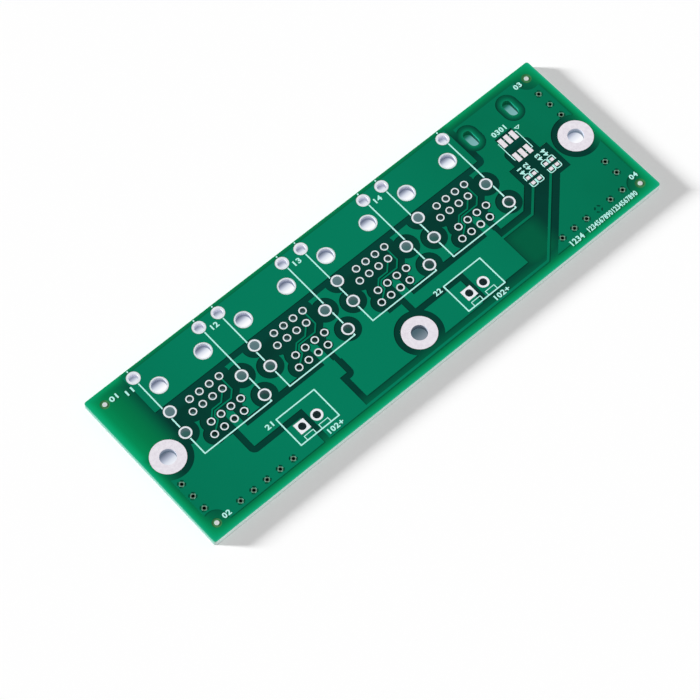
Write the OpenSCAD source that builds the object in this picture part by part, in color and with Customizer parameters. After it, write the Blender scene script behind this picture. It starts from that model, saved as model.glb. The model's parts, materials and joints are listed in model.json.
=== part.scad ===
// Bare two-layer circuit board for four network jacks, two power headers and one indicator.
// Places on the board are measured from its near-left corner; the part itself is centred.

/* [Board] */
// Length of the board
board_l = 120; // [119:0.5:130]
// Width of the board
board_w = 40; // [39.8:0.1:50]
// Thickness over both solder masks
board_t = 1.6; // [0.8:0.1:3.2]
// Radius of the board's corners
corner_r = 0.6; // [0.3:0.1:1.5]
// Width of the bare border round the copper
border_w = 2.1; // [2:0.05:2.2]

/* [Layers] */
// Thickness of the copper foil with its plating
copper_t = 0.07; // [0.05:0.01:0.12]
// Thickness of the solder mask over copper
mask_t = 0.03; // [0.02:0.005:0.05]
// Thickness of the solder mask over bare laminate
mask_low_t = 0.055; // [0.04:0.005:0.06]
// Width of the mask wall down the side of the copper
mask_wall = 0.04; // [0.02:0.005:0.06]
// Gap between a pad and the mask round it
mask_gap = 0.05; // [0.03:0.01:0.08]
// Height of the tin on a pad above its copper
tin_t = 0.01; // [0.005:0.005:0.02]
// Thickness of the legend ink
ink_t = 0.02; // [0.01:0.005:0.03]
// Thickness of the plating in a hole
plate_t = 0.05; // [0.03:0.01:0.08]

/* [Mounting holes] */
// Radius of a mounting hole inside its plating
mount_hole_r = 1.75; // [1.5:0.05:2]
// Radius of the tinned land round a mounting hole
mount_pad_r = 3.75; // [3.2:0.05:4]
// Distance from the outer mounting holes to the board's ends
mount_inset = 5; // [4.5:0.1:6]
// Distance from the middle mounting hole to the near edge
mid_mount_y = 7.55; // [7.3:0.05:7.8]

/* [Jacks] */
// Place of the first jack's centre along the board
first_jack_x = 19.42; // [19.2:0.02:19.6]
// Distance between neighbouring jacks
jack_pitch = 22; // [21.9:0.05:22.1]
// Pitch of the signal pins
pin_pitch = 2.54; // [2.5:0.01:2.6]
// Distance of the farthest row of signal pins from the near edge
far_row_y = 26.81; // [26.77:0.01:26.85]
// Distance between the far pair of pin rows and the near pair
pair_step = 6.59; // [6.56:0.01:6.62]
// Radius of a signal hole
pin_hole_r = 0.6; // [0.5:0.02:0.7]
// Radius of a signal land
pin_pad_r = 0.85; // [0.8:0.01:0.9]
// Radius of an indicator leg's hole
leg_hole_r = 1.02; // [0.9:0.01:1.1]
// Radius of an indicator leg's land
leg_pad_r = 1.37; // [1.3:0.01:1.42]
// Radius of a shield tab's hole
shield_hole_r = 1; // [0.8:0.05:1.1]
// Radius of a shield tab's land
shield_pad_r = 1.43; // [1.35:0.01:1.5]
// Radius of a locating peg's hole
peg_hole_r = 1.62; // [1.5:0.02:1.7]
// Radius of a locating peg's land
peg_pad_r = 1.9; // [1.85:0.01:1.98]
// Distance between the two locating pegs
peg_spacing = 11.43; // [11.3:0.01:11.6]

/* [Headers] */
// Place of the first header's centre along the board
first_header_x = 30.8; // [30.7:0.02:30.9]
// Distance between the two headers
header_spacing = 44.6; // [44.5:0.02:44.7]
// Distance of the header pins from the near edge
header_y = 7.55; // [7.4:0.05:7.7]
// Pitch of the header pins
header_pitch = 3.81; // [3.75:0.01:3.9]
// Radius of a header hole
header_hole_r = 0.85; // [0.7:0.01:0.95]
// Width of a header land
header_pad_w = 2.56; // [2.4:0.02:2.7]

/* [Copper] */
// Spacing between copper that carries different voltages
creepage = 1.5; // [1.4:0.01:1.6]
// Spacing between a land and copper at the same voltage
close_gap = 0.3; // [0.25:0.01:0.35]
// Width of a signal track
track_w = 0.25; // [0.2:0.01:0.3]
// Width of a supply track
supply_track_w = 0.45; // [0.4:0.01:0.5]
// Radius of a stitching via's hole
via_hole_r = 0.36; // [0.3:0.01:0.4]
// Radius of a stitching via's land
via_pad_r = 0.54; // [0.5:0.01:0.58]
// Outer radius of the thermal relief round a via
relief_r = 0.95; // [0.85:0.01:1]
// Width of a thermal relief's spokes
spoke_w = 0.4; // [0.3:0.01:0.5]

/* [Slots] */
// Width of the two unplated slots
slot_w = 2.2; // [1.8:0.1:2.4]
// Length of the two unplated slots
slot_l = 4.05; // [3.6:0.05:4.4]

/* [Legend] */
// Width of the legend lines round the jacks and headers
legend_w = 0.28; // [0.2:0.01:0.35]
// Width of the fine legend lines
fine_w = 0.17; // [0.12:0.01:0.2]
// Width of the brackets round the resistors
bracket_w = 0.2; // [0.15:0.01:0.2]

/* [Hidden] */
$fn = 48;
// Overlap of a cut with the layer it cuts
eps = 0.05;
// Overlap between rectangles that make one pour
lap = 1;
// Length that a cutting shape runs past what it cuts
reach = 2;

// Heights of the layers, from the outer face of the bottom mask
z_copper_low = mask_t;
z_core_low = mask_t + copper_t;
z_core_high = board_t - mask_t - copper_t;
z_copper_high = board_t - mask_t;
z_pad_low = z_copper_low - tin_t;
z_pad_high = z_copper_high + tin_t;
core_t = z_core_high - z_core_low;
land_t = copper_t + tin_t;

// Edges of the copper field; its right border is a little narrower
right_border_w = border_w - 0.1;
field_x0 = border_w;
field_y0 = border_w;
field_x1 = board_l - right_border_w;
field_y1 = board_w - border_w;

// Jack footprint: four rows of pins, staggered in pairs, with shield tabs and pegs beyond them
near_row_y = far_row_y - pair_step;
row_y = [far_row_y, far_row_y - pin_pitch, near_row_y, near_row_y - pin_pitch];
stagger = pin_pitch / 4;
shield_dx = 8.5;
shield_y = 37.76;
peg_y = 33.17;
// Indicator legs: distance from the jack's centre line, and from the near edge
legs = [[-7.85, 27.28], [-8.5, 21.75], [7.85, 23.9], [8.5, 17.68]];
jacks = [0, 1, 2, 3];
pins = [0, 1, 2, 3];
function jack_x(n) = first_jack_x + n * jack_pitch;
function row_shift(r) = r % 2 == 0 ? stagger : -stagger;
function pin_x(n, r, k) = jack_x(n) + row_shift(r) + (k - 1.5) * pin_pitch;
function pin_at(n, r, k) = [pin_x(n, r, k), row_y[r]];
function leg_at(n, k) = [jack_x(n) + legs[k][0], legs[k][1]];

// Headers, mounting holes, fiducials and slots
header_x = [first_header_x, first_header_x + header_spacing];
function header_at(h, side) = [header_x[h] + side * header_pitch / 2, header_y];
mounts = [[mount_inset, board_w / 2], [board_l / 2, mid_mount_y], [board_l - mount_inset, board_w / 2]];
mount_clear_r = mount_pad_r + creepage - mask_gap;
fiducial_inset = 3;
fiducials = [
    for (x = [fiducial_inset, board_l - fiducial_inset])
        for (y = [fiducial_inset, board_w - fiducial_inset]) [x, y]
];
fiducial_r = 0.5;
fiducial_open_r = 1;
fiducial_clear_r = 2.85;
slots = [[98.45, 33.97], [109.55, 33.97]];
slot_clear = 1.45;

// Stitching vias; the last one of the lower right row is covered by the mask
via_step = 3.39;
vias_left = [
    for (k = [0:2]) [3.2, 6.96 + k * via_step],
    for (k = [0:4]) [9.45 + k * via_step, 3.43]
];
low_via = [96.22, 4.26];
mount_via = [116.3, 25.7];
vias_right = [
    for (k = [0:2]) mount_via + [0, k * via_step],
    for (k = [0:1]) [115.2, 8.07 + k * via_step],
    for (k = [0, 1, 2, 4, 5]) low_via + [k * via_step, 0]
];
covered_via = low_via + [3 * via_step, 0];

// Surface pads of the indicator and of the resistors
indicator_x = [102.49, 104.03, 105.57];
indicator_y = [28.72, 24.32];
indicator_pad = [1.05, 2.25];
resistor_x = [100.78, 102.45, 105.78, 107.45];
resistor_y = [19.2, 17.67];
resistor_pad = [0.85, 0.75];

// Supply strips that rise from the pours to the jacks, either side of a jack's centre
strip_l = 0.28;
strip_r = 1.52;
strip_top = 20.1;

// Rectangles that make up the pours: left, near, right and far edges
low_edge = 14.67;
web_edge = low_edge + creepage + 0.1;
web_top = 27.6;
web_step_top = 23.5;
web_step_inset = 5;
web_inset = 8;
step_y = 10.58;
left_field_top = 22.3;
shield_area = [9.3, 29.08, 95.58, 39.05];
supply_1_left = jack_x(0) - strip_l;
supply_1_right = 43.2;
supply_1_body = [supply_1_left, step_y, supply_1_right, low_edge - 0.4];
supply_1_block = [31.35, field_y0, 41.35, low_edge];
supply_1_rail_w = 0.5;
supply_1_foot = [90.4, field_y0 + supply_1_rail_w / 2];
supply_2_right = 87.1;
supply_2_body = [jack_x(2) - strip_l, 12.17, supply_2_right, low_edge];
supply_2_block = [75.6, 4.83, supply_2_right, low_edge];
supply_2_bend = [95.43, 12.35];
supply_2_tie_top = 8;
left_block_top = step_y - creepage;
middle_left = supply_1_right + creepage;
middle_right = supply_2_body[0] - creepage;
middle_low = 4.08;
return_area = [board_l / 2, middle_low, 74.05, 10.7];
right_left = shield_area[2] + creepage;

// Legend: reach of the outlines from the centres of what they go round, and gap at a land
jack_outline_left = 8.54;
jack_outline_right = 8.65;
header_outline_left = 4.77;
header_outline_right = 5.13;
latch_w = 2.34;
ink_gap = 0.2;

mask_green = "#00785a";
tin = "#e4e1e8";
copper = "#c77b4a";
ink = "#eafffb";
laminate = "#c9d8b0";

// ---- plane shapes ----

module box(x0, y0, x1, y1, g = 0) {
    translate([x0 - g, y0 - g]) square([x1 - x0 + 2 * g, y1 - y0 + 2 * g]);
}

module area(edges, g = 0) {
    box(edges[0], edges[1], edges[2], edges[3], g);
}

module disc(at, r) {
    translate(at) circle(r = r);
}

module pad_box(at, size, g = 0) {
    translate(at) square([size[0] + 2 * g, size[1] + 2 * g], center = true);
}

module stroke(from, to, w) {
    run = to - from;
    translate(from) rotate(atan2(run[1], run[0])) translate([0, -w / 2]) square([norm(run), w]);
    disc(from, w / 2);
    disc(to, w / 2);
}

module upright_slot(at, w, l) {
    stroke(at - [0, (l - w) / 2], at + [0, (l - w) / 2], w);
}

module board_outline() {
    box(corner_r, 0, board_l - corner_r, board_w);
    box(0, corner_r, board_l, board_w - corner_r);
    for (x = [corner_r, board_l - corner_r], y = [corner_r, board_w - corner_r]) {
        disc([x, y], corner_r);
    }
}

// Every land with its hole, grown by g; a layer subtracts them
module jack_lands(g) {
    for (n = jacks) {
        for (r = pins, k = pins) disc(pin_at(n, r, k), pin_pad_r + g);
        for (k = pins) disc(leg_at(n, k), leg_pad_r + g);
    }
}

module tab_lands(g) {
    for (n = jacks, side = [-1, 1]) {
        disc([jack_x(n) + side * shield_dx, shield_y], shield_pad_r + g);
        disc([jack_x(n) + side * peg_spacing / 2, peg_y], peg_pad_r + g);
    }
}

module header_lands(g) {
    for (h = [0, 1]) {
        pad_box(header_at(h, -1), [header_pad_w, header_pad_w], g);
        disc(header_at(h, 1), header_pad_w / 2 + g);
    }
}

module mount_lands(g) {
    for (m = mounts) disc(m, mount_pad_r + g);
}

module via_lands(g) {
    for (v = concat(vias_left, vias_right)) disc(v, via_pad_r + g);
}

module surface_pads(g) {
    for (x = indicator_x, y = indicator_y) pad_box([x, y], indicator_pad, g);
    for (x = resistor_x, y = resistor_y) pad_box([x, y], resistor_pad, g);
}

// Clearance round the pins of jack n: the last pins of rows three and four join the copper
module jack_clearance(n, g) {
    wide = pin_pad_r + creepage - g;
    for (r = [0, 1], k = pins) disc(pin_at(n, r, k), wide);
    for (k = [0, 1, 2]) disc(pin_at(n, 2, k), wide);
    for (k = [0, 1]) disc(pin_at(n, 3, k), wide);
    for (k = pins) disc(leg_at(n, k), leg_pad_r + creepage - g);
    close_clearance(pin_at(n, 2, 3), g);
    close_clearance(pin_at(n, 3, 3), g);
    stroke(pin_at(n, 0, 3), sense_bend(n), track_w + 2 * (creepage - g));
    stroke(sense_bend(n), sense_turn(n), track_w + 2 * (creepage - g));
}

// A close clearance with one spoke to the right
module close_clearance(at, g) {
    difference() {
        disc(at, pin_pad_r + close_gap - g);
        box(at[0], at[1] - spoke_w / 2, at[0] + reach, at[1] + spoke_w / 2, g);
    }
    disc(at, pin_pad_r);
}

// Thermal relief of a via: four arcs between four spokes
module via_relief(at, g) {
    difference() {
        disc(at, relief_r - g);
        box(at[0] - spoke_w / 2, at[1] - reach, at[0] + spoke_w / 2, at[1] + reach, g);
        box(at[0] - reach, at[1] - spoke_w / 2, at[0] + reach, at[1] + spoke_w / 2, g);
    }
    disc(at, via_pad_r);
}

module mount_clearance(g) {
    for (m = mounts) disc(m, mount_clear_r - g);
}

module fiducial_clearance(g) {
    for (f = fiducials) disc(f, fiducial_clear_r - g);
}

// Two signal tracks per jack: first row to fourth, and second row to third
sense_drop = 1.4;
function sense_bend(n) = [pin_x(n, 0, 3), 22.9];
function sense_turn(n) = sense_bend(n) - [sense_drop, sense_drop];

module jack_tracks_2d(n, g = 0) {
    w = track_w + 2 * g;
    left = jack_x(n) - 1.9;
    low_turn = [left, 19.6];
    high_turn = [left, 20.7];
    chamfer = [0.8, 0.8];
    rise = 22.12;
    stroke(pin_at(n, 0, 3), sense_bend(n), w);
    stroke(sense_bend(n), sense_turn(n), w);
    stroke(sense_turn(n), high_turn + chamfer, w);
    stroke(high_turn + chamfer, high_turn, w);
    stroke(high_turn, low_turn, w);
    stroke(low_turn, pin_at(n, 3, 0), w);
    start = pin_at(n, 1, 3);
    end = pin_at(n, 2, 0);
    first = [start[0] - (start[1] - rise), rise];
    last = [end[0] + (rise - end[1]), rise];
    stroke(start, first, w);
    stroke(first, last, w);
    stroke(last, end, w);
}

// ---- copper pours, each grown by g for the mask that covers its side ----

module shield_2d(g = 0) {
    difference() {
        area(shield_area, g);
        tab_lands(0);
    }
}

module ground_left_2d(g = 0) {
    corner = [supply_1_left, step_y];
    difference() {
        union() {
            box(field_x0, field_y0, corner[0], step_y, g);
            box(field_x0, field_y0, supply_1_block[0] - creepage, left_block_top, g);
            box(field_x0, field_y0, corner[0] - creepage, left_field_top, g);
        }
        disc(corner, creepage - g);
        jack_clearance(0, g);
        mount_clearance(g);
        fiducial_clearance(g);
        for (v = vias_left) via_relief(v, g);
        pad_box(header_at(0, -1), [header_pad_w, header_pad_w]);
    }
}

module ground_middle_2d(g = 0) {
    corner = [supply_1_right, step_y];
    difference() {
        union() {
            box(supply_1_block[2] + creepage, middle_low, middle_right, left_block_top, g);
            box(corner[0], middle_low, middle_left + lap, step_y, g);
            box(middle_left, middle_low, middle_right, low_edge, g);
            web_body_2d(1, low_edge - lap, g);
        }
        disc(corner, creepage - g);
        for (n = [1, 2]) jack_clearance(n, g);
        mount_clearance(g);
    }
}

module return_2_2d(g = 0) {
    difference() {
        area(return_area, g);
        mount_clearance(g);
        pad_box(header_at(1, -1), [header_pad_w, header_pad_w]);
    }
}

// The strip of jack n, cut clear of the third row's pins
module supply_strip(n, y0, g) {
    difference() {
        box(jack_x(n) - strip_l, y0, jack_x(n) + strip_r, strip_top, g);
        for (k = [1, 2]) disc(pin_at(n, 2, k), pin_pad_r + close_gap - g);
        disc(pin_at(n, 3, 2), pin_pad_r);
    }
}

module supply_1_2d(g = 0) {
    foot = supply_1_foot;
    run = resistor_y[1] - foot[1];
    difference() {
        union() {
            area(supply_1_body, g);
            box(supply_1_left, step_y, jack_x(1) + strip_r, low_edge, g);
            area(supply_1_block, g);
            box(supply_1_block[0], field_y0, foot[0], field_y0 + supply_1_rail_w, g);
        }
        disc(header_at(0, 1), header_pad_w / 2);
    }
    supply_strip(0, step_y + lap, g);
    supply_strip(1, step_y + lap, g);
    difference() {
        stroke(foot, foot + [run, run], supply_track_w + 2 * g);
        surface_pads(0);
    }
}

module supply_2_2d(g = 0) {
    w = supply_track_w + 2 * g;
    bend = supply_2_bend;
    run = resistor_y[1] - bend[1];
    difference() {
        union() {
            area(supply_2_body, g);
            area(supply_2_block, g);
        }
        disc(header_at(1, 1), header_pad_w / 2);
    }
    supply_strip(2, low_edge - lap, g);
    supply_strip(3, low_edge - lap, g);
    difference() {
        union() {
            stroke([supply_2_right - lap, bend[1]], bend, w);
            stroke(bend, bend + [run, run], w);
        }
        surface_pads(0);
    }
}

// Web of copper between the jacks n and n + 1; only its near half reaches the next jack's pins
module web_body_2d(n, y0, g) {
    left = jack_x(n) + strip_r + creepage;
    box(left, y0, jack_x(n + 1) - web_step_inset, web_step_top, g);
    box(left, y0, jack_x(n + 1) - web_inset, web_top, g);
}

module web_2d(n, g = 0) {
    difference() {
        web_body_2d(n, web_edge, g);
        jack_clearance(n, g);
        jack_clearance(n + 1, g);
    }
}

// Bare field that holds the two supply tracks and the resistors; its long sides run at 45 degrees
module bare_field_2d(g = 0) {
    s = g * sqrt(2);
    x0 = 80;
    foot = [93, field_y0];
    near = 15.6;
    right = 109.5;
    far = 22.9;
    left = 98.8;
    left_y = 18.4;
    low = 14.17;
    polygon([
        [x0, 0], [foot[0] - foot[1] - s, 0], [foot[0] - foot[1] + near - s, near + g],
        [right - g, near + g], [right - g, far], [left + g, far], [left + g, left_y + g - s],
        [left + low - left_y - g + s, low - g], [x0, low - g]
    ]);
}

// Bare field of the indicator: a wide part with two round corners, and a narrower one beyond it
module indicator_clearance_2d(g = 0) {
    r = 1.3;
    x0 = 100.45;
    x1 = 107.6;
    y0 = 22;
    y1 = 26.9;
    head = [101.7, y1 - lap, 106.4, 30.4];
    area(head, -g);
    box(x0, y0, x1, y1 - r, -g);
    box(x0 + r, y0, x1 - r, y1, -g);
    for (x = [x0 + r, x1 - r]) disc([x, y1 - r], r - g);
}

module ground_right_2d(g = 0) {
    difference() {
        union() {
            box(right_left, field_y0, field_x1, field_y1, g);
            box(jack_x(3) + strip_r + creepage, low_edge - lap / 2, right_left + lap, web_top, g);
            box(shield_area[2], web_top - lap, right_left + lap, shield_area[1], g);
            box(supply_2_block[2], field_y0, right_left + lap, supply_2_tie_top, g);
        }
        disc([shield_area[2], shield_area[1]], creepage - g);
        bare_field_2d(g);
        indicator_clearance_2d(g);
        jack_clearance(3, g);
        mount_clearance(g);
        fiducial_clearance(g);
        for (s = slots) upright_slot(s, slot_w + 2 * (slot_clear - g), slot_l + 2 * (slot_clear - g));
        for (v = concat(vias_right, [covered_via])) via_relief(v, g);
        near_spoke_gap(mount_via);
    }
}

// The via beside the mounting hole has no near spoke, since the hole's clearance cuts it off
module near_spoke_gap(at) {
    box(at[0] - spoke_w / 2, at[1] - relief_r, at[0] + spoke_w / 2, at[1]);
}

// All the copper that the top mask covers, grown by g
module covered_copper_2d(g = 0) {
    shield_2d(g);
    ground_left_2d(g);
    ground_middle_2d(g);
    ground_right_2d(g);
    return_2_2d(g);
    supply_1_2d(g);
    supply_2_2d(g);
    web_2d(0, g);
    web_2d(2, g);
    for (n = jacks) jack_tracks_2d(n, g);
    disc(covered_via, via_pad_r + g);
}

module bottom_plane_2d(g = 0) {
    difference() {
        box(field_x0, field_y0, field_x1, field_y1, g);
        jack_lands(close_gap - g);
        tab_lands(close_gap - g);
        header_lands(close_gap - g);
        mount_clearance(g);
        fiducial_clearance(g);
        for (s = slots) upright_slot(s, slot_w + 2 * (slot_clear - g), slot_l + 2 * (slot_clear - g));
        via_lands(0);
        disc(covered_via, via_pad_r);
    }
}

// ---- solids ----

module layer(z0, z1) {
    translate([-board_l / 2, -board_w / 2, z0]) linear_extrude(z1 - z0) children();
}

module place(at) {
    translate([at[0] - board_l / 2, at[1] - board_w / 2, 0]) children();
}

// Plated barrel: a tube through the core with a land on each face
module barrel(hole_r, pad_r, top = z_pad_high) {
    wall_r = hole_r + plate_t;
    rotate_extrude() polygon([
        [hole_r, z_pad_low], [pad_r, z_pad_low], [pad_r, z_core_low], [wall_r, z_core_low],
        [wall_r, z_core_high], [pad_r, z_core_high], [pad_r, top], [hole_r, top]
    ]);
}

module square_barrel(hole_r, pad_w) {
    difference() {
        union() {
            translate([0, 0, z_core_low]) cylinder(r = hole_r + plate_t, h = core_t);
            for (z = [z_pad_low, z_core_high]) {
                translate([-pad_w / 2, -pad_w / 2, z]) cube([pad_w, pad_w, land_t]);
            }
        }
        translate([0, 0, -reach]) cylinder(r = hole_r, h = board_t + 2 * reach);
    }
}

module substrate_core() {
    color(laminate) layer(z_core_low, z_core_high) difference() {
        board_outline();
        for (n = jacks) {
            for (r = pins, k = pins) disc(pin_at(n, r, k), pin_hole_r + plate_t);
            for (k = pins) disc(leg_at(n, k), leg_hole_r + plate_t);
            for (side = [-1, 1]) {
                disc([jack_x(n) + side * shield_dx, shield_y], shield_hole_r + plate_t);
                disc([jack_x(n) + side * peg_spacing / 2, peg_y], peg_hole_r + plate_t);
            }
        }
        for (h = [0, 1], side = [-1, 1]) disc(header_at(h, side), header_hole_r + plate_t);
        for (m = mounts) disc(m, mount_hole_r + plate_t);
        for (v = concat(vias_left, vias_right, [covered_via])) disc(v, via_hole_r + plate_t);
        for (s = slots) upright_slot(s, slot_w, slot_l);
    }
}

module bottom_copper_plane() {
    color(copper) layer(z_copper_low, z_core_low) bottom_plane_2d();
}

// Mask in two steps: high over copper, low over bare laminate
module solder_mask_2d() {
    difference() {
        board_outline();
        jack_lands(mask_gap);
        tab_lands(mask_gap);
        header_lands(mask_gap);
        mount_lands(mask_gap);
        via_lands(mask_gap);
        for (s = slots) upright_slot(s, slot_w, slot_l);
        children();
    }
}

// Everything outside the copper and the mask on its sides
module bare_area_2d() {
    difference() {
        box(0, 0, board_l, board_w, reach);
        children();
    }
}

module bottom_solder_mask() {
    color(mask_green) difference() {
        layer(0, z_core_low) solder_mask_2d() disc(covered_via, via_pad_r + mask_gap);
        layer(z_copper_low, z_core_low + eps) bottom_plane_2d();
        layer(-eps, z_core_low - mask_low_t) bare_area_2d() bottom_plane_2d(mask_wall);
    }
}

module top_solder_mask() {
    color(mask_green) difference() {
        layer(z_core_high, board_t) solder_mask_2d() {
            surface_pads(mask_gap);
            for (f = fiducials) disc(f, fiducial_open_r);
        }
        layer(z_core_high - eps, z_copper_high) covered_copper_2d();
        layer(z_core_high + mask_low_t, board_t + eps) bare_area_2d() covered_copper_2d(mask_wall);
    }
}

module top_copper() {
    color(copper) layer(z_core_high, z_copper_high) children();
}

module shield_pour() { top_copper() shield_2d(); }
module ground_pour_left() { top_copper() ground_left_2d(); }
module ground_pour_middle() { top_copper() ground_middle_2d(); }
module ground_pour_right() { top_copper() ground_right_2d(); }
module supply_pour_1() { top_copper() supply_1_2d(); }
module supply_pour_2() { top_copper() supply_2_2d(); }
module return_pour_2() { top_copper() return_2_2d(); }
module web_pour(n) { top_copper() web_2d(n); }

module signal_tracks() {
    top_copper() difference() {
        for (n = jacks) jack_tracks_2d(n);
        jack_lands(0);
    }
}

module signal_barrels(n) {
    color(tin) for (r = pins, k = pins) place(pin_at(n, r, k)) barrel(pin_hole_r, pin_pad_r);
}

module leg_barrels(n) {
    color(tin) for (k = pins) place(leg_at(n, k)) barrel(leg_hole_r, leg_pad_r);
}

module shield_barrels(n) {
    color(tin) for (side = [-1, 1]) {
        place([jack_x(n) + side * shield_dx, shield_y]) barrel(shield_hole_r, shield_pad_r);
    }
}

module peg_barrels(n) {
    color(tin) for (side = [-1, 1]) {
        place([jack_x(n) + side * peg_spacing / 2, peg_y]) barrel(peg_hole_r, peg_pad_r);
    }
}

module header_square_barrel(h) {
    color(tin) place(header_at(h, -1)) square_barrel(header_hole_r, header_pad_w);
}

module header_round_barrel(h) {
    color(tin) place(header_at(h, 1)) barrel(header_hole_r, header_pad_w / 2);
}

module mount_barrel(m) {
    color(tin) place(mounts[m]) barrel(mount_hole_r, mount_pad_r);
}

module via_barrels(vias) {
    color(tin) for (v = vias) place(v) barrel(via_hole_r, via_pad_r);
}

module via_barrels_right() {
    via_barrels(vias_right);
    color(tin) place(covered_via) barrel(via_hole_r, via_pad_r, z_copper_high);
}

module indicator_pads() {
    color(tin) layer(z_core_high, z_pad_high) {
        for (x = indicator_x, y = indicator_y) pad_box([x, y], indicator_pad);
    }
}

module resistor_pads() {
    color(tin) layer(z_core_high, z_pad_high) {
        for (x = resistor_x, y = resistor_y) pad_box([x, y], resistor_pad);
    }
}

module fiducial_dots() {
    color(tin) layer(z_core_high, z_pad_high) for (f = fiducials) disc(f, fiducial_r);
}

// ---- legend ink, which drops to the mask between the pours ----

module legend() {
    color(ink) {
        layer(board_t, board_t + ink_t) children();
        layer(z_core_high + mask_low_t, board_t) difference() {
            children();
            covered_copper_2d(mask_wall);
        }
    }
}

// Lines through a row of points
module path_2d(points, w) {
    for (i = [1:len(points) - 1]) stroke(points[i - 1], points[i], w);
}

// Outline of jack n's housing, open at the far side and broken at the lands
module jack_legend_2d(n) {
    left = jack_x(n) - jack_outline_left;
    right = jack_x(n) + jack_outline_right;
    low = 15.75;
    high = 39.65;
    difference() {
        path_2d([[left, high], [left, low], [right, low], [right, high]], legend_w);
        jack_lands(ink_gap);
        tab_lands(ink_gap);
    }
}

// Outline of header h's housing, with a latch beside each pin
module header_legend_2d(h) {
    x0 = header_x[h] - header_outline_left;
    x1 = header_x[h] + header_outline_right;
    y0 = 4.53;
    y1 = 12.03;
    latch_y = 5.62;
    path_2d([[x0, y0], [x1, y0], [x1, y1], [x0, y1], [x0, y0]], legend_w);
    for (side = [-1, 1]) {
        left = header_at(h, side)[0] - latch_w / 2;
        right = left + latch_w;
        path_2d([[left, y0], [left, latch_y], [right, latch_y], [right, y0]], fine_w);
    }
}

// Outline of the indicator, and a triangle at its first pad
module indicator_legend_2d() {
    x0 = 101.62;
    x1 = 106.58;
    y0 = 24.05;
    y1 = 29.05;
    tip = [107.4, 29.2];
    mark = 0.6;
    difference() {
        path_2d([[x0, y0], [x1, y0], [x1, y1], [x0, y1], [x0, y0]], fine_w);
        surface_pads(ink_gap);
    }
    path_2d([tip, tip + [mark, mark], tip + [-mark, mark], tip], fine_w);
}

// Round-cornered bracket over one end of a resistor
module bracket_2d() {
    half_w = 0.72;
    depth = 0.85;
    leg = 0.35;
    r = 0.35;
    for (side = [-1, 1]) {
        stroke([side * half_w, -leg], [side * half_w, depth - r], bracket_w);
        translate([side * (half_w - r), depth - r]) intersection() {
            difference() {
                circle(r = r + bracket_w / 2);
                circle(r = r - bracket_w / 2);
            }
            translate([min(side, 0) * reach, 0]) square(reach);
        }
    }
    stroke([r - half_w, depth], [half_w - r, depth], bracket_w);
}

module resistor_legend_2d() {
    for (x = resistor_x) {
        translate([x, resistor_y[0]]) bracket_2d();
        translate([x, resistor_y[1]]) mirror([0, 1]) bracket_2d();
    }
}

substrate_core();
bottom_copper_plane();
bottom_solder_mask();
top_solder_mask();
shield_pour();
ground_pour_left();
ground_pour_middle();
ground_pour_right();
supply_pour_1();
supply_pour_2();
return_pour_2();
web_pour(0);  // web_pour_1
web_pour(2);  // web_pour_3
signal_tracks();
signal_barrels(0);  // jack_1_signal_barrels
signal_barrels(1);  // jack_2_signal_barrels
signal_barrels(2);  // jack_3_signal_barrels
signal_barrels(3);  // jack_4_signal_barrels
leg_barrels(0);  // jack_1_leg_barrels
leg_barrels(1);  // jack_2_leg_barrels
leg_barrels(2);  // jack_3_leg_barrels
leg_barrels(3);  // jack_4_leg_barrels
shield_barrels(0);  // jack_1_shield_barrels
shield_barrels(1);  // jack_2_shield_barrels
shield_barrels(2);  // jack_3_shield_barrels
shield_barrels(3);  // jack_4_shield_barrels
peg_barrels(0);  // jack_1_peg_barrels
peg_barrels(1);  // jack_2_peg_barrels
peg_barrels(2);  // jack_3_peg_barrels
peg_barrels(3);  // jack_4_peg_barrels
header_square_barrel(0);  // header_1_square_barrel
header_round_barrel(0);  // header_1_round_barrel
header_square_barrel(1);  // header_2_square_barrel
header_round_barrel(1);  // header_2_round_barrel
mount_barrel(0);  // mount_barrel_left
mount_barrel(1);  // mount_barrel_middle
mount_barrel(2);  // mount_barrel_right
indicator_pads();
resistor_pads();
fiducial_dots();
via_barrels(vias_left);  // via_barrels_left
via_barrels_right();
legend() jack_legend_2d(0);  // jack_1_legend
legend() jack_legend_2d(1);  // jack_2_legend
legend() jack_legend_2d(2);  // jack_3_legend
legend() jack_legend_2d(3);  // jack_4_legend
legend() header_legend_2d(0);  // header_1_legend
legend() header_legend_2d(1);  // header_2_legend
legend() indicator_legend_2d();  // indicator_legend
legend() resistor_legend_2d();  // resistor_legend
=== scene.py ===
import json
import math

import bpy
from mathutils import Matrix, Quaternion, Vector


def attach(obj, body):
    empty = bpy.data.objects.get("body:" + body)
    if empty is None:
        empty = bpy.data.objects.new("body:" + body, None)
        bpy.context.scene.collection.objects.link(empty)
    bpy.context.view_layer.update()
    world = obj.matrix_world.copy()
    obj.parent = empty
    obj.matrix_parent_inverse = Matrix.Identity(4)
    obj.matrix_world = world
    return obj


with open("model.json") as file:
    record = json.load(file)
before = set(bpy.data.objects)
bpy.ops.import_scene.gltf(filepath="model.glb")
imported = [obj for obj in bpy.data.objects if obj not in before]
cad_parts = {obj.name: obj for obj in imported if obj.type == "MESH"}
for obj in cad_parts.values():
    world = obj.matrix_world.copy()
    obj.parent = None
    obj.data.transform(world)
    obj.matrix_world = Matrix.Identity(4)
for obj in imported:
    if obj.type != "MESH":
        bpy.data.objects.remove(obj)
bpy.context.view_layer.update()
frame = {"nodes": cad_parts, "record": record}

# Gives a bare circuit board its coats, copper, solder and printed numbers, and lays it on
# white paper under a low lamp.

MM = 0.001

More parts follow.
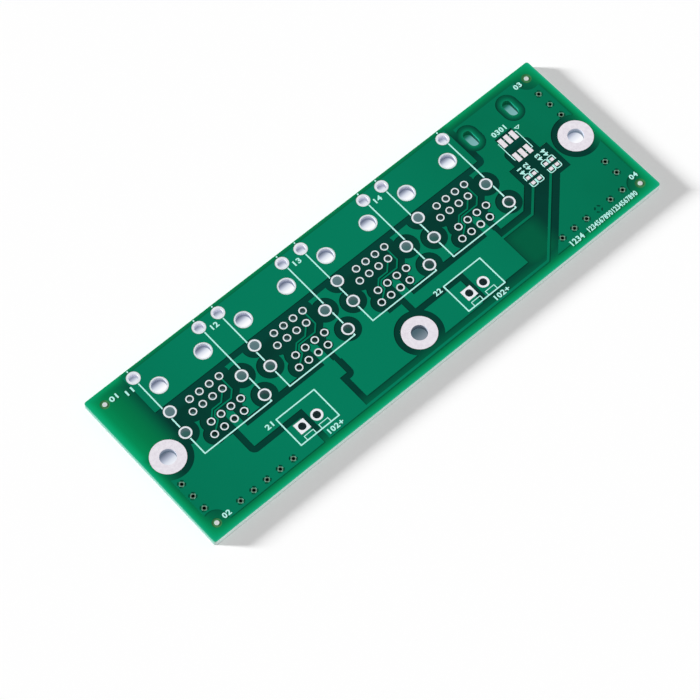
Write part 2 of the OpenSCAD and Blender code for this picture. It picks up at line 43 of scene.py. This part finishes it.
# ---- the board, in millimetres, x and y from its centre and heights from its underside ----
HALF_L = 60.0
HALF_W = 20.0
MASK_TOP = 1.6
LAND_TOP = 1.58
LAND_LOW = 0.02
CORE_LOW = 0.1
CORE_HIGH = 1.5
UPPER_MASK_STEP = (1.572, 1.592)    # from above bare laminate to above copper
LOWER_MASK_STEP = (0.02, 0.004)     # from below bare laminate to below copper
CLOTH_LAYER = 0.19
JACK_PITCH = 22.0
HEADER_STEP = 44.6
RESISTORS = (40.78, 42.45, 45.78, 47.45)
SLOT_MIDDLE = (44.0, 13.97)
SLOT_SPACING = 5.55                 # from the middle to each slot
SLOT_RADIUS = 1.1
SLOT_STRAIGHT = 0.925
FIDUCIAL = (57.0, 17.0)
FIDUCIAL_RING = 1.02                # radius of the bare ring round it
CORNER_REACH = 12.0                 # how far from a corner the light of both edges adds up

# ---- printing ----
INK_HEIGHT = 0.018
CAP_HEIGHT = 0.72                   # height of a figure, for a type size of 1
STROKE_GAIN = 0.045                 # outlines moved out by this share of the height
LETTER_SPACING = 1.1

# ---- camera, light and floor ----
CAMERA_AT = Vector((-184.18, -200.7, 504.96)) * MM
CAMERA_AIM = Vector((-12.396, -5.517, 0.0)) * MM
CAMERA_ROLL = math.radians(-0.364)
CAMERA_LENS = 146.466
KEY_DIRECTION = Vector((-5.5, 5.5, 1.62))
KEY_STRENGTH = 7.3
KEY_SIZE = math.radians(8.5)
FILL_STRENGTH = 0.48
FLOOR_SIZE = 3.0
FLOOR_GAP = 0.02                    # millimetres below the board
FLOOR_GLOW = 0.09                   # keeps the open floor white
FOOT_GLOW = 0.06                    # painted light that softens the dark line at the foot of the shaded edges
FOOT_WIDTH = 0.45
EDGE_LIGHT = 0.12                   # painted glow, given as emission on the laminate's shaded edges


def srgb(red, green, blue):
    """A colour given on the 0 to 255 scale, as the shader wants it."""
    def linear(value):
        value /= 255
        return value / 12.92 if value <= 0.04045 else ((value + 0.055) / 1.055) ** 2.4
    return (linear(red), linear(green), linear(blue), 1.0)


# ---- painted glow of light through the laminate, by the distance from something, in millimetres ----
CHANNEL = srgb(0, 57, 47)
EDGE_GLOW = (
    (0.0, srgb(70, 204, 164)), (0.12, srgb(32, 178, 132)), (0.3, srgb(10, 168, 120)),
    (0.6, srgb(4, 160, 106)), (1.0, srgb(2, 147, 92)), (1.5, srgb(0, 126, 78)),
    (2.1, srgb(0, 106, 71)), (2.8, srgb(0, 94, 66)), (4.0, srgb(0, 76, 57)), (5.5, CHANNEL),
)
LEFT_GLOW = (
    (0.0, srgb(20, 180, 126)), (0.6, srgb(6, 172, 115)), (1.0, srgb(2, 165, 106)),
    (1.5, srgb(0, 152, 95)), (2.0, srgb(0, 142, 86)), (4.0, srgb(0, 127, 76)),
    (6.0, srgb(0, 118, 72)), (7.2, srgb(0, 109, 70)), (8.7, srgb(0, 86, 61)), (10.0, CHANNEL),
)
SLOT_GLOW = (
    (0.0, srgb(10, 132, 96)), (0.4, srgb(0, 112, 79)), (0.8, srgb(0, 92, 66)), (1.4, CHANNEL),
)

# ---- painted shade and light on the paper under the board, as the holes show it ----
# y on the paper of the wall that bounds what each kind of hole shows
PEG_WALL = 14.79
TAB_WALL = 18.9
SLOT_WALL = 15.9
MOUNT_WALL = 1.75
# painted shade and light by the distance beyond the header row, and from the wall of an open hole
# or a slot
HEADER_ROW = -12.0
PIN_PAINTED_SHADE = (
    (0.0, srgb(20, 38, 40)), (10.0, srgb(28, 69, 63)), (14.0, srgb(50, 93, 88)),
    (17.0, srgb(76, 110, 112)), (20.0, srgb(92, 118, 124)),
)
HOLE_PAINTED_SHADE = (
    (0.0, srgb(100, 111, 130)), (0.45, srgb(152, 159, 179)), (0.75, srgb(184, 191, 209)),
    (1.1, srgb(218, 223, 234)), (1.5, srgb(234, 237, 246)), (1.9, srgb(250, 251, 255)),
)
SLOT_PAINTED_SHADE = (
    (0.0, srgb(8, 90, 66)), (0.4, srgb(19, 103, 84)), (0.8, srgb(74, 141, 139)),
    (1.3, srgb(110, 168, 166)), (3.0, srgb(124, 178, 180)),
)


# ---- node helpers ----

class Shader:
    """A new material and short calls for wiring its nodes."""

    def __init__(self, name):
        self.material = bpy.data.materials.new(name)
        self.material.use_nodes = True
        self.tree = self.material.node_tree
        self.bsdf = self.tree.nodes["Principled BSDF"]
        self.coords = self.tree.nodes.new("ShaderNodeTexCoord").outputs["Object"]
        split = self.tree.nodes.new("ShaderNodeSeparateXYZ")
        self.link(self.coords, split.inputs[0])
        self.x, self.y, self.z = (self.math("DIVIDE", side, MM) for side in split.outputs)

    def link(self, source, target):
        self.tree.links.new(source, target)

    def feed(self, socket, value):
        if isinstance(value, bpy.types.NodeSocket):
            self.link(value, socket)
        else:
            socket.default_value = value

    def math(self, operation, first, second=0.0, third=0.0, clamp=False):
        node = self.tree.nodes.new("ShaderNodeMath")
        node.operation = operation
        node.use_clamp = clamp
        for socket, value in zip(node.inputs, (first, second, third)):
            self.feed(socket, value)
        return node.outputs[0]

    def distance(self, first, second):
        """Length of the diagonal across two sides."""
        square = self.math("MULTIPLY_ADD", first, first, self.math("MULTIPLY", second, second))
        return self.math("SQRT", square)

    def away(self, value, place):
        """How far a coordinate is from a place, in millimetres."""
        return self.math("ABSOLUTE", self.math("SUBTRACT", value, place))

    def ramp_between(self, value, start, end):
        """0 at start, 1 at end, smooth between; start may be the larger."""
        node = self.tree.nodes.new("ShaderNodeMapRange")
        node.interpolation_type = "SMOOTHSTEP"
        self.feed(node.inputs["Value"], value)
        node.inputs["From Min"].default_value = start
        node.inputs["From Max"].default_value = end
        return node.outputs["Result"]

    def blend(self, factor, first, second):
        """A number between two others."""
        step = self.math("SUBTRACT", second, first)
        return self.math("MULTIPLY_ADD", step, factor, first)

    def mix(self, factor, first, second, mode="MIX"):
        node = self.tree.nodes.new("ShaderNodeMix")
        node.data_type = "RGBA"
        node.blend_type = mode
        self.feed(node.inputs[0], factor)
        self.feed(node.inputs[6], first)
        self.feed(node.inputs[7], second)
        return node.outputs[2]

    def lighter(self, first, second):
        """The lighter of two colours."""
        return self.mix(1.0, first, second, "LIGHTEN")

    def colour_at(self, distance, stops):
        """A colour for each distance, blended between the stops."""
        reach = stops[-1][0]
        node = self.tree.nodes.new("ShaderNodeValToRGB")
        self.link(self.math("DIVIDE", distance, reach, clamp=True), node.inputs["Fac"])
        elements = node.color_ramp.elements
        while len(elements) < len(stops):
            elements.new(0.5)
        for element, (place, colour) in zip(elements, stops):
            element.position = place / reach
            element.color = colour
        return node.outputs["Color"]

    def noise(self, size, detail=2.0, stretch=(1, 1, 1)):
        mapping = self.tree.nodes.new("ShaderNodeMapping")
        mapping.inputs["Scale"].default_value = stretch
        self.link(self.coords, mapping.inputs["Vector"])
        node = self.tree.nodes.new("ShaderNodeTexNoise")
        node.inputs["Scale"].default_value = 1 / (size * MM)
        node.inputs["Detail"].default_value = detail
        self.link(mapping.outputs[0], node.inputs["Vector"])
        return node.outputs["Fac"]

    def bump(self, height, distance, strength=1.0):
        node = self.tree.nodes.new("ShaderNodeBump")
        node.inputs["Strength"].default_value = strength
        node.inputs["Distance"].default_value = distance * MM
        self.link(height, node.inputs["Height"])
        self.link(node.outputs[0], self.bsdf.inputs["Normal"])

    def finish(self, colour, roughness, metallic=0.0, specular=0.5):
        self.feed(self.bsdf.inputs["Base Color"], colour)
        self.feed(self.bsdf.inputs["Roughness"], roughness)
        self.bsdf.inputs["Metallic"].default_value = metallic
        self.bsdf.inputs["Specular IOR Level"].default_value = specular
        return self.material


# ---- materials ----

def edge_distance(s):
    """Distance from the board's nearest edge, cut short at the corners, which get light from
    two edges. The far edge counts as further off, and more so beside the shield copper, which
    comes close to it."""
    end = s.math("SUBTRACT", HALF_L, s.math("ABSOLUTE", s.x))
    near = s.math("ADD", s.y, HALF_W)
    shield = s.ramp_between(s.away(s.x, -7.5), 44.5, 42.5)
    offset = s.math("MULTIPLY_ADD", shield, 0.75, 0.5)
    far = s.math("ADD", offset, s.math("SUBTRACT", HALF_W, s.y))
    side = s.math("MINIMUM", near, far)
    nearest = s.math("MAXIMUM", s.math("MINIMUM", end, side), 0.01)
    other = s.math("MAXIMUM", s.math("MAXIMUM", end, side), 0.01)
    second = s.math("SUBTRACT", s.math("DIVIDE", 1.0, other), 1 / CORNER_REACH)
    both = s.math("ADD", s.math("DIVIDE", 1.0, nearest), s.math("MAXIMUM", second, 0.0))
    return s.math("DIVIDE", 1.0, both)


def inset(s):
    """Distance in from the nearest side of the board."""
    end = s.math("SUBTRACT", HALF_L, s.math("ABSOLUTE", s.x))
    side = s.math("SUBTRACT", HALF_W, s.math("ABSOLUTE", s.y))
    return s.math("MINIMUM", end, side)


def on_shaded_side(s):
    """1 at the near and right edges, which face away from the lamp, and 0 at the other two."""
    facing = s.math("SUBTRACT", s.x, s.math("MULTIPLY", s.y, HALF_L / HALF_W))
    return s.ramp_between(facing, -2.0, 2.0)


def slot_distance(s):
    """Distance from the wall of the nearer slot, below zero inside it."""
    across = s.math("SUBTRACT", s.away(s.x, SLOT_MIDDLE[0]), SLOT_SPACING)
    along = s.math("MAXIMUM", s.math("SUBTRACT", s.away(s.y, SLOT_MIDDLE[1]), SLOT_STRAIGHT), 0.0)
    return s.math("SUBTRACT", s.distance(across, along), SLOT_RADIUS)


def fiducial_distance(s):
    """Distance from the centre of the nearest fiducial."""
    across = s.math("SUBTRACT", s.math("ABSOLUTE", s.x), FIDUCIAL[0])
    along = s.math("SUBTRACT", s.math("ABSOLUTE", s.y), FIDUCIAL[1])
    return s.distance(across, along)


def bare_mask(s):
    """Mask over bare laminate: dark in the channels, with a painted glow where light would come
    through the laminate, near the edges, the left end, the slots, the open field and a strip
    along y = 8.3.
    """
    cloud = s.ramp_between(s.noise(9.0, 3.0), 0.3, 0.7)
    channel = s.mix(cloud, srgb(0, 54, 46), srgb(0, 62, 50))
    from_left = s.math("ADD", s.x, HALF_L)
    left = s.mix(s.ramp_between(s.y, -0.5, 3.5), CHANNEL, s.colour_at(from_left, LEFT_GLOW))
    field_x = s.ramp_between(s.away(s.x, 31.0), 6.5, 1.5)
    field_y = s.ramp_between(s.away(s.y, -12.5), 7.0, 2.5)
    field = s.mix(s.math("MULTIPLY", field_x, field_y), CHANNEL, srgb(0, 95, 65))
    edge = s.colour_at(edge_distance(s), EDGE_GLOW)
    slots = s.colour_at(slot_distance(s), SLOT_GLOW)
    strip = s.mix(s.ramp_between(s.away(s.y, 8.3), 2.5, 1.0), CHANNEL, srgb(0, 66, 55))
    glowing = s.lighter(s.lighter(left, s.lighter(field, strip)), s.lighter(edge, slots))
    return s.lighter(channel, glowing)


def solder_mask():
    """Green mask: clear green on copper with a painted pool of light, dark between pours, and a
    painted glow where light would come through the bare laminate."""
    s = Shader("solder_mask_green")
    cloud = s.ramp_between(s.noise(16.0, 3.0), 0.3, 0.7)
    # Painted pool of light: the copper's green is lighter within 20 mm of x = -12, fading out by
    # 62 mm.
    middle = s.ramp_between(s.away(s.x, -12.0), 62.0, 20.0)
    over_copper = s.mix(cloud, srgb(0, 114, 81), srgb(0, 119, 86))
    over_copper = s.mix(middle, over_copper, srgb(0, 127, 94))
    ring = s.ramp_between(s.away(fiducial_distance(s), FIDUCIAL_RING), 0.14, 0.04)
    olive = s.math("MULTIPLY", ring, s.ramp_between(s.x, -57.0, 57.0))
    bare = s.mix(s.math("MULTIPLY", olive, 0.28), bare_mask(s), srgb(96, 112, 52))
    on_copper = s.ramp_between(s.z, *UPPER_MASK_STEP)
    top = s.mix(on_copper, bare, over_copper)
    under_copper = s.ramp_between(s.z, *LOWER_MASK_STEP)
    underside = s.mix(under_copper, CHANNEL, over_copper)
    colour = s.mix(s.ramp_between(s.z, 0.3, 0.05), top, underside)
    rim = s.ramp_between(inset(s), 0.02, 0.005)
    rim_colour = s.mix(s.ramp_between(s.z, 0.3, 0.1), srgb(112, 180, 160), srgb(206, 234, 226))
    colour = s.mix(rim, colour, rim_colour)
    weave = s.noise(0.32, 2.0, (1, 1, 0.2))
    mottled = s.mix(s.math("MULTIPLY", weave, 0.12), colour, srgb(0, 40, 30))
    s.bump(s.noise(0.45, 3.0), 0.004, 0.35)
    roughness = s.math("MULTIPLY_ADD", s.noise(3.0), 0.14, 0.3)
    return s.finish(mottled, roughness, specular=0.04)


def far_row_glow(s):
    """Painted glow of the jack holes' walls: faint in the nearest row and stronger row by row."""
    return s.math("MULTIPLY_ADD", s.ramp_between(s.y, -4.0, 9.0), 0.55, 0.15)


def end_mount_glow(s):
    """Painted glow of the mounting holes' walls: only the two at the ends have it."""
    return s.math("MULTIPLY", s.ramp_between(s.math("ABSOLUTE", s.x), 50.0, 52.0), 0.22)


def shield_row_glow(s):
    """Painted glow of the peg and tab holes' walls, stronger in the row of tabs."""
    return s.math("MULTIPLY_ADD", s.ramp_between(s.y, 15.0, 16.5), 0.14, 0.1)


def levelled_solder(name, land, bore_top, bore_low, glow=None, coat=0.5):
    """Levelled solder with a fine grain and soft pools, and a barrel wall painted with the shade
    inside its hole, from one colour at the top to another lower down; where a glow is given, the
    wall also carries a painted glow, as emission, in place of light thrown up into it."""
    s = Shader(name)
    grain = s.noise(0.09, 4.0)
    pools = s.ramp_between(s.noise(0.8, 2.0), 0.35, 0.65)
    pale = s.mix(s.math("MULTIPLY", pools, coat), land, srgb(243, 240, 246))
    dull = s.math("MULTIPLY", s.ramp_between(grain, 0.6, 0.8), coat)
    face = s.mix(dull, pale, srgb(190, 184, 200))
    wall = s.mix(s.ramp_between(s.z, 1.45, 0.3), bore_top, bore_low)
    in_bore = s.math(
        "MULTIPLY",
        s.ramp_between(s.z, LAND_TOP - 0.004, LAND_TOP - 0.03),
        s.ramp_between(s.z, LAND_LOW + 0.004, LAND_LOW + 0.03),
    )
    s.bump(s.noise(0.3, 3.0), 0.012, 0.5)
    if glow:
        s.feed(s.bsdf.inputs["Emission Color"], wall)
        s.feed(s.bsdf.inputs["Emission Strength"], s.math("MULTIPLY", in_bore, glow(s)))
    roughness = s.math("MULTIPLY_ADD", grain, 0.25, 0.3)
    return s.finish(s.mix(in_bore, face, wall), roughness, metallic=0.25)


def bare_copper():
    """Copper foil on its cut edges; its top shows only in the gap round a land, tinned."""
    s = Shader("copper_foil")
    foil = s.mix(s.noise(0.5, 3.0), srgb(196, 120, 78), srgb(168, 98, 62))
    tinned = s.mix(s.noise(0.2, 3.0), srgb(214, 210, 218), srgb(232, 228, 236))
    colour = s.mix(s.ramp_between(s.z, CORE_HIGH - 0.01, CORE_HIGH), foil, tinned)
    roughness = s.math("MULTIPLY_ADD", s.noise(0.2), 0.2, 0.35)
    return s.finish(colour, roughness, metallic=0.3)


def laminate():
    """Glass and epoxy: the cloth's layers show on the outer edges, which are painted darker teal
    on the two lit edges and pale mint on the two shaded ones; green on its face, and a clear teal
    inside the milled slots. The shaded edges carry a painted glow."""
    s = Shader("glass_epoxy_laminate")
    layers = s.math("SINE", s.math("MULTIPLY", s.z, 2 * math.pi / CLOTH_LAYER))
    fibres = s.noise(0.12, 3.0, (1, 1, 3))
    bands = s.ramp_between(s.math("MULTIPLY_ADD", layers, 0.18, fibres), 0.25, 0.8)
    upper = s.mix(bands, srgb(74, 132, 115), srgb(88, 150, 132))
    lower = s.mix(bands, srgb(105, 144, 135), srgb(124, 163, 154))
    # Painted light and shade: the two lit edges get the darker colour, the two shaded edges the
    # pale one.
    lit_edges_darkened = s.mix(s.ramp_between(s.z, 0.5, 1.4), lower, upper)
    clear = s.mix(bands, srgb(224, 246, 241), srgb(242, 254, 250))
    shaded = on_shaded_side(s)
    edges = s.mix(shaded, lit_edges_darkened, clear)
    slot_wall = s.mix(bands, srgb(8, 118, 96), srgb(26, 146, 120))
    slot_end = s.ramp_between(s.y, SLOT_MIDDLE[1] + 0.9, SLOT_MIDDLE[1] + 1.8)
    slot_wall = s.mix(slot_end, slot_wall, srgb(0, 134, 94))
    inside = s.ramp_between(inset(s), 0.4, 0.9)
    walls = s.mix(inside, edges, slot_wall)
    face = s.mix(s.noise(0.3), srgb(66, 132, 78), srgb(52, 116, 68))
    from_middle = s.away(s.z, (CORE_LOW + CORE_HIGH) / 2)
    on_face = s.ramp_between(from_middle, 0.69, 0.698)
    # Painted glow, as emission, on the outer part of the shaded edges but not on the face.
    outer = s.math("MULTIPLY", shaded, s.math("SUBTRACT", 1.0, inside))
    painted_edge_glow = s.math("MULTIPLY", outer, s.math("SUBTRACT", 1.0, on_face))
    s.bsdf.inputs["Emission Color"].default_value = srgb(229, 255, 246)
    s.feed(s.bsdf.inputs["Emission Strength"], s.math("MULTIPLY", painted_edge_glow, EDGE_LIGHT))
    roughness = s.math("MULTIPLY_ADD", fibres, 0.3, 0.4)
    return s.finish(s.mix(on_face, walls, face), roughness, specular=0.2)


def legend_ink():
    """Screened ink with a slightly ragged, grainy coat."""
    s = Shader("legend_ink")
    grain = s.noise(0.12, 3.0)
    colour = s.mix(s.ramp_between(grain, 0.35, 0.75), srgb(198, 252, 243), srgb(160, 238, 227))
    s.bump(grain, 0.004, 0.5)
    return s.finish(colour, s.math("MULTIPLY_ADD", grain, 0.2, 0.55), specular=0.3)


def dress(materials, barrels, plain_tin):
    """Gives every carried-over node the material of its record slot, and each kind of plated
    barrel its own."""
    slots = {part["node"]: part["material_slot"] for part in frame["record"]["subparts"]}
    for name, node in frame["nodes"].items():
        material = materials[slots[name]]
        if slots[name] == "tin":
            kinds = [kind for kind in barrels if kind in name]
            material = barrels[kinds[0]] if kinds else plain_tin
        for place in node.material_slots:
            place.material = material


# ---- printed numbers ----

def printed(name, words, at, height, width, ink, turn=0.0):
    """Plain characters laid on the board as raised ink, then made a mesh at their place."""
    bpy.ops.object.select_all(action="DESELECT")
    bpy.ops.object.text_add()
    piece = bpy.context.object
    piece.name = name
    text = piece.data
    text.body = words
    text.align_x = "CENTER"
    text.align_y = "CENTER"
    text.size = height * MM / CAP_HEIGHT
    text.extrude = INK_HEIGHT / 2 * MM
    text.offset = STROKE_GAIN * height * MM
    text.space_character = LETTER_SPACING
    text.resolution_u = 3
    bpy.context.view_layer.update()
    piece.scale = (width * MM / piece.dimensions.x, 1, 1)
    piece.rotation_euler = (0, 0, math.radians(turn))
    piece.location = (at[0] * MM, at[1] * MM, (MASK_TOP + INK_HEIGHT / 2) * MM)
    bpy.ops.object.convert(target="MESH")
    bpy.ops.object.transform_apply(location=True, rotation=True, scale=True)
    text_mesh = bpy.context.object
    text_mesh.data.materials.clear()
    text_mesh.data.materials.append(ink)
    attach(text_mesh, "root")


def print_numbers(ink):
    """Each number with its place, the height of its figures and its whole width."""
    corners = ((-54.6, 16.9), (-54.35, -16.9), (54.35, 16.8), (57.15, -14.85))
    for number, at in enumerate(corners, 1):
        printed(f"corner_number_{number}", f"0{number}", at, 1.15, 1.9, ink)
    for number in (1, 2, 3, 4):
        at = (-51.5 + (number - 1) * (JACK_PITCH - 0.1), 15.9)
        printed(f"jack_number_{number}", f"1{number}", at, 1.2, 1.7, ink)
    for number in (1, 2):
        step = (number - 1) * HEADER_STEP
        printed(f"header_number_{number}", f"2{number}", (-35.7 + step, -8.2), 1.15, 1.8, ink)
        printed(f"pin_numbers_{number}", "102+", (-26.3 + step, -16.9), 1.15, 3.8, ink)
    printed("indicator_number", "0301", (44.0, 11.3), 1.2, 3.6, ink)
    for number, x in enumerate(RESISTORS, 1):
        printed(f"resistor_number_{number}", f"4{number}", (x, 1.3), 1.1, 1.9, ink, turn=90)
    printed("batch_digits", "1234", (38.1, -18.05), 1.3, 3.4, ink)
    printed("long_digits", "12345678901234567890", (48.0, -18.05), 1.15, 13.6, ink)


# ---- stage ----

def pin_shade(s, across):
    """Painted shade that the jack and header holes show, paler row by row, and a painted grey
    behind the middle mounting hole."""
    rows = s.colour_at(s.math("SUBTRACT", s.y, HEADER_ROW), PIN_PAINTED_SHADE)
    middle_x = s.ramp_between(across, 5.0, 3.0)
    middle_y = s.ramp_between(s.away(s.y, -12.45), 5.0, 3.0)
    middle = s.mix(s.ramp_between(s.y, -11.0, -14.2), srgb(74, 98, 108), srgb(136, 148, 160))
    return s.mix(s.math("MULTIPLY", middle_x, middle_y), rows, middle)


def open_shade(s, at_end):
    """The painted pale shade behind the pegs, the tabs and the mounting holes at the ends."""
    behind_pegs = s.math("SUBTRACT", PEG_WALL, s.y)
    behind_tabs = s.math("SUBTRACT", TAB_WALL, s.y)
    row = s.blend(s.ramp_between(s.y, 16.0, 16.4), behind_pegs, behind_tabs)
    behind_mount = s.math("SUBTRACT", MOUNT_WALL, s.y)
    behind_left = s.math("MULTIPLY_ADD", behind_mount, 0.62, -0.12)
    behind_right = s.math("MULTIPLY_ADD", behind_mount, 0.7, 0.4)
    end = s.blend(s.ramp_between(s.x, -1.0, 1.0), behind_left, behind_right)
    return s.colour_at(s.blend(at_end, row, end), HOLE_PAINTED_SHADE)


def seen_through_holes(s, across):
    """The painted shade and light that each group of holes shows, teal at the slots. Beyond the
    rows of jacks there are only vias, which stay painted dark, and the two mounting holes."""
    beyond = s.ramp_between(across, 51.0, 52.0)
    in_rows = s.ramp_between(across, 52.0, 51.0)
    far = s.ramp_between(s.y, 10.0, 11.0)
    at_end = s.math("MULTIPLY", beyond, s.ramp_between(s.math("ABSOLUTE", s.y), 5.0, 4.0))
    open_hole = s.math("MAXIMUM", at_end, s.math("MULTIPLY", in_rows, far))
    dark = s.mix(beyond, pin_shade(s, across), srgb(6, 14, 10))
    teal = s.colour_at(s.math("SUBTRACT", SLOT_WALL, s.y), SLOT_PAINTED_SHADE)
    slots = s.ramp_between(s.away(s.x, SLOT_MIDDLE[0]), 9.0, 8.0)
    at_slots = s.math("MULTIPLY", slots, far)
    return s.mix(at_slots, s.mix(open_hole, dark, open_shade(s, at_end)), teal)


def open_floor_lift(s, across):
    """Light added to the open floor, with a little more painted light at the foot of the shaded
    edges.
    """
    past_x = s.math("MAXIMUM", s.math("SUBTRACT", across, HALF_L), 0.0)
    past_y = s.math("MAXIMUM", s.math("SUBTRACT", s.math("ABSOLUTE", s.y), HALF_W), 0.0)
    close = s.ramp_between(s.distance(past_x, past_y), FOOT_WIDTH, 0.0)
    foot = s.math("MULTIPLY", close, on_shaded_side(s))
    return s.math("MULTIPLY_ADD", foot, FOOT_GLOW, FLOOR_GLOW)


def floor_finish():
    """White paper. Under the board it is painted dark and given a painted glow in the shade that
    each group of holes shows."""
    s = Shader("pale_floor")
    across = s.math("ABSOLUTE", s.x)
    board_x = s.ramp_between(across, HALF_L - 0.5, HALF_L - 1.0)
    board_y = s.ramp_between(s.math("ABSOLUTE", s.y), HALF_W - 0.5, HALF_W - 1.0)
    under = s.math("MULTIPLY", board_x, board_y)
    # Painted shade: the paper under the board is dark, and its glow paints what each group of
    # holes shows.
    s.feed(s.bsdf.inputs["Base Color"], s.mix(under, srgb(249, 249, 249), srgb(40, 44, 44)))
    s.bsdf.inputs["Roughness"].default_value = 0.9
    s.bsdf.inputs["Specular IOR Level"].default_value = 0.0
    seen = s.mix(under, (1, 1, 1, 1), seen_through_holes(s, across))
    s.feed(s.bsdf.inputs["Emission Color"], seen)
    path = s.tree.nodes.new("ShaderNodeLightPath")
    lift = s.math("MULTIPLY", path.outputs["Is Camera Ray"], open_floor_lift(s, across))
    s.link(s.blend(under, lift, 1.0), s.bsdf.inputs["Emission Strength"])
    return s.material


def add_floor():
    bpy.ops.object.select_all(action="DESELECT")
    bpy.ops.mesh.primitive_plane_add(size=FLOOR_SIZE, location=(0, 0, -FLOOR_GAP * MM))
    floor = bpy.context.object
    floor.name = "floor"
    bpy.ops.object.transform_apply(location=True)
    floor.data.materials.append(floor_finish())


def add_world():
    """Soft even sky that the camera, gloss and clear things see as white."""
    world = bpy.data.worlds.new("studio")
    bpy.context.scene.world = world
    world.use_nodes = True
    nodes = world.node_tree.nodes
    links = world.node_tree.links
    path = nodes.new("ShaderNodeLightPath")
    strength = nodes.new("ShaderNodeMapRange")
    strength.inputs["To Min"].default_value = FILL_STRENGTH
    strength.inputs["To Max"].default_value = 1.0
    seen = path.outputs["Is Camera Ray"]
    for ray in ("Is Glossy Ray", "Is Transmission Ray"):
        either = nodes.new("ShaderNodeMath")
        either.operation = "MAXIMUM"
        links.new(seen, either.inputs[0])
        links.new(path.outputs[ray], either.inputs[1])
        seen = either.outputs[0]
    links.new(seen, strength.inputs["Value"])
    links.new(strength.outputs["Result"], nodes["Background"].inputs["Strength"])
    nodes["Background"].inputs["Color"].default_value = (1, 1, 1, 1)


def add_key_light():
    light = bpy.data.lights.new("key", "SUN")
    light.energy = KEY_STRENGTH
    light.angle = KEY_SIZE
    lamp = bpy.data.objects.new("key", light)
    lamp.rotation_mode = "QUATERNION"
    lamp.rotation_quaternion = KEY_DIRECTION.to_track_quat("Z", "Y")
    lamp.visible_glossy = False
    bpy.context.scene.collection.objects.link(lamp)


def add_camera():
    data = bpy.data.cameras.new("camera")
    data.sensor_width = 36.0
    data.lens = CAMERA_LENS
    data.clip_end = 20.0
    camera = bpy.data.objects.new("camera", data)
    view = (CAMERA_AIM - CAMERA_AT).to_track_quat("-Z", "Y")
    roll = Quaternion((0, 0, 1), CAMERA_ROLL)
    camera.matrix_world = Matrix.Translation(CAMERA_AT) @ (view @ roll).to_matrix().to_4x4()
    bpy.context.scene.collection.objects.link(camera)
    bpy.context.scene.camera = camera


add_camera()
add_world()
add_key_light()
add_floor()
bpy.context.scene.view_settings.view_transform = "Standard"

green = solder_mask()
ink = legend_ink()
land = srgb(232, 228, 236)
plain_tin = levelled_solder("tinned_pad", srgb(232, 224, 229), land, land)
# The bore colours are painted shade: nearly black in the signal, header and via holes, grey in
# the leg holes, and pale with a darker lower part in the shield, peg and mounting holes.
barrels = {
    "signal": levelled_solder(
        "signal_barrel", srgb(218, 231, 234), srgb(36, 52, 50), srgb(36, 64, 60), far_row_glow,
    ),
    "header": levelled_solder(
        "header_barrel", srgb(238, 242, 247), srgb(74, 92, 96), srgb(54, 78, 80), far_row_glow,
    ),
    "leg": levelled_solder(
        "leg_barrel", srgb(226, 233, 238), srgb(108, 126, 130), srgb(98, 124, 126), far_row_glow,
    ),
    "shield": levelled_solder(
        "shield_barrel", srgb(223, 230, 237), srgb(226, 224, 232), srgb(184, 188, 204),
        shield_row_glow,
    ),
    "peg": levelled_solder(
        "peg_barrel", srgb(212, 226, 230), srgb(206, 208, 220), srgb(142, 152, 174),
        shield_row_glow,
    ),
    "mount": levelled_solder(
        "mount_barrel", srgb(229, 223, 232), srgb(170, 176, 190), srgb(118, 136, 152),
        end_mount_glow,
    ),
    "fiducial": levelled_solder("fiducial_tin", srgb(204, 212, 210), land, land, coat=0.2),
    "via": levelled_solder(
        "via_barrel", srgb(80, 128, 102), srgb(10, 20, 12), srgb(4, 10, 6), coat=0.06,
    ),
}
dress({
    "laminate": laminate(),
    "copper": bare_copper(),
    "mask_top": green,
    "mask_bottom": green,
    "tin": plain_tin,
    "legend_ink": ink,
}, barrels, plain_tin)
print_numbers(ink)
